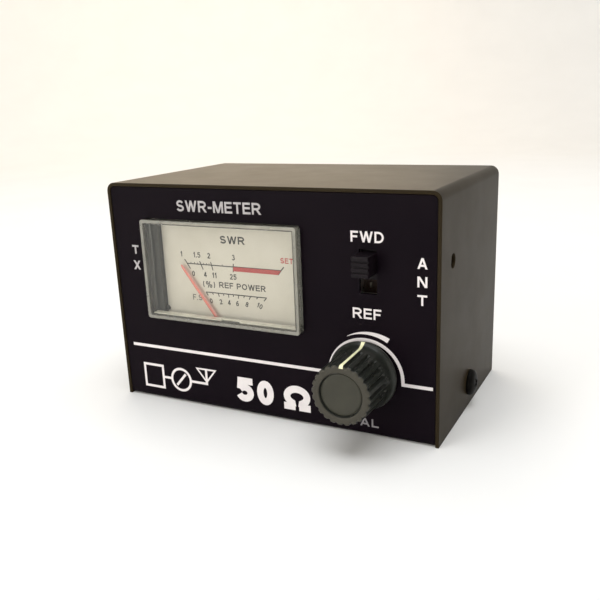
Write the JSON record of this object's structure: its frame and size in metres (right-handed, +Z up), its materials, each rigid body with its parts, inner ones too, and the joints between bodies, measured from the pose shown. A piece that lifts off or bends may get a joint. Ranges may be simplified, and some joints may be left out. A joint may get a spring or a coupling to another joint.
{
  "type": "swr meter",
  "caption": "Reflected-power meter in a folded steel case, with a moving-coil dial, a slide switch, a fluted knob and coaxial sockets at the rear.",
  "frame": {"origin": "centre of the flat underside of the case", "axes": "+Z up, the front panel faces -Y, +X to the right as seen from the front"},
  "size_m": [0.1042, 0.0895, 0.0655],
  "materials": {
    "case_paint": "satin black stove enamel on folded steel",
    "zinc_steel": "bright zinc plating",
    "black_screw": "black oxide",
    "clear_styrene": "clear moulded styrene",
    "black_plastic": "moulded, satin",
    "dial_card": "warm white printed card",
    "soft_iron": "machined",
    "magnet": "ground",
    "brass": "machined",
    "phenolic": "pressed phenolic sheet",
    "tinned_brass": "bright tin plating",
    "nickel": "nickel plating",
    "socket_insulator": "moulded",
    "circuit_board": "solder resist",
    "copper": "tinned at the joints",
    "diode_glass": "glass envelope",
    "resistor_body": "lacquered",
    "capacitor_body": "dipped",
    "wire_blue": "PVC insulation",
    "wire_red": "PVC insulation",
    "wire_yellow": "PVC insulation",
    "knob_plastic": "moulded, grey olive",
    "pointer_cream": "cream paint line",
    "switch_plastic": "moulded black",
    "spring_bronze": "spring temper",
    "needle_red": "translucent red lacquer"
  },
  "bodies": {
    "case": {"chassis": "case_paint", "panel_studs": "zinc_steel", "cover": "case_paint", "cover_screws": "black_screw", "meter_window": "clear_styrene", "meter_housing": "black_plastic", "dial_plate": "dial_card", "dial_screws": "zinc_steel", "meter_yoke": "soft_iron", "meter_magnet": "magnet", "core_supports": "brass", "front_bridge": "brass", "rear_bridge": "brass", "jewel_screws": "brass", "meter_terminals": "brass", "meter_strap": "zinc_steel", "panel_nuts": "zinc_steel", "switch_frame": "zinc_steel", "switch_base": "phenolic", "switch_terminals": "tinned_brass", "pot_bush": "nickel", "pot_case": "zinc_steel", "pot_track": "phenolic", "pot_terminals": "tinned_brass", "pot_washer": "zinc_steel", "pot_nut": "nickel", "tx_socket_shell": "nickel", "tx_insulator": "socket_insulator", "tx_contact": "tinned_brass", "ant_socket_shell": "nickel", "ant_insulator": "socket_insulator", "ant_contact": "tinned_brass", "rear_screws": "nickel", "rear_nuts": "zinc_steel", "coupler_board": "circuit_board", "line_conductor": "copper", "pickup_lines": "copper", "diodes": "diode_glass", "resistors": "resistor_body", "capacitors": "capacitor_body", "board_spacers": "brass", "antenna_jack_body": "black_plastic", "antenna_jack_lugs": "tinned_brass", "board_wires": "wire_blue", "meter_wires": "wire_red", "antenna_wire": "wire_yellow"},
    "knob_assembly": {"knob": "knob_plastic", "knob_pointer": "pointer_cream", "knob_insert": "brass", "knob_grub_screw": "black_screw", "pot_shaft": "nickel", "pot_wiper": "phenolic"},
    "switch_slider": {"switch_actuator": "switch_plastic", "switch_contacts": "spring_bronze"},
    "meter_movement": {"pointer": "needle_red", "moving_coil": "copper", "coil_shaft": "nickel", "hairsprings": "spring_bronze", "balance_weights": "soft_iron"}
  },
  "joints": [
    {"name": "knob_turn", "type": "hinge", "parent": "case", "child": "knob_assembly", "pos_m": [0.0297, -0.03, 0.0174], "axis": [0, 1, 0], "range_deg": [-147, 153]},
    {"name": "switch_slide", "type": "slide", "parent": "case", "child": "switch_slider", "axis": [0, 0, -1], "range_m": [0, 0.0046]},
    {"name": "pointer_swing", "type": "hinge", "parent": "case", "child": "meter_movement", "pos_m": [-0.0127, -0.025, 0.0213], "axis": [0, 1, 0], "range_deg": [0, 74], "stiffness_Nm_per_rad": 0.00002}
  ]
}
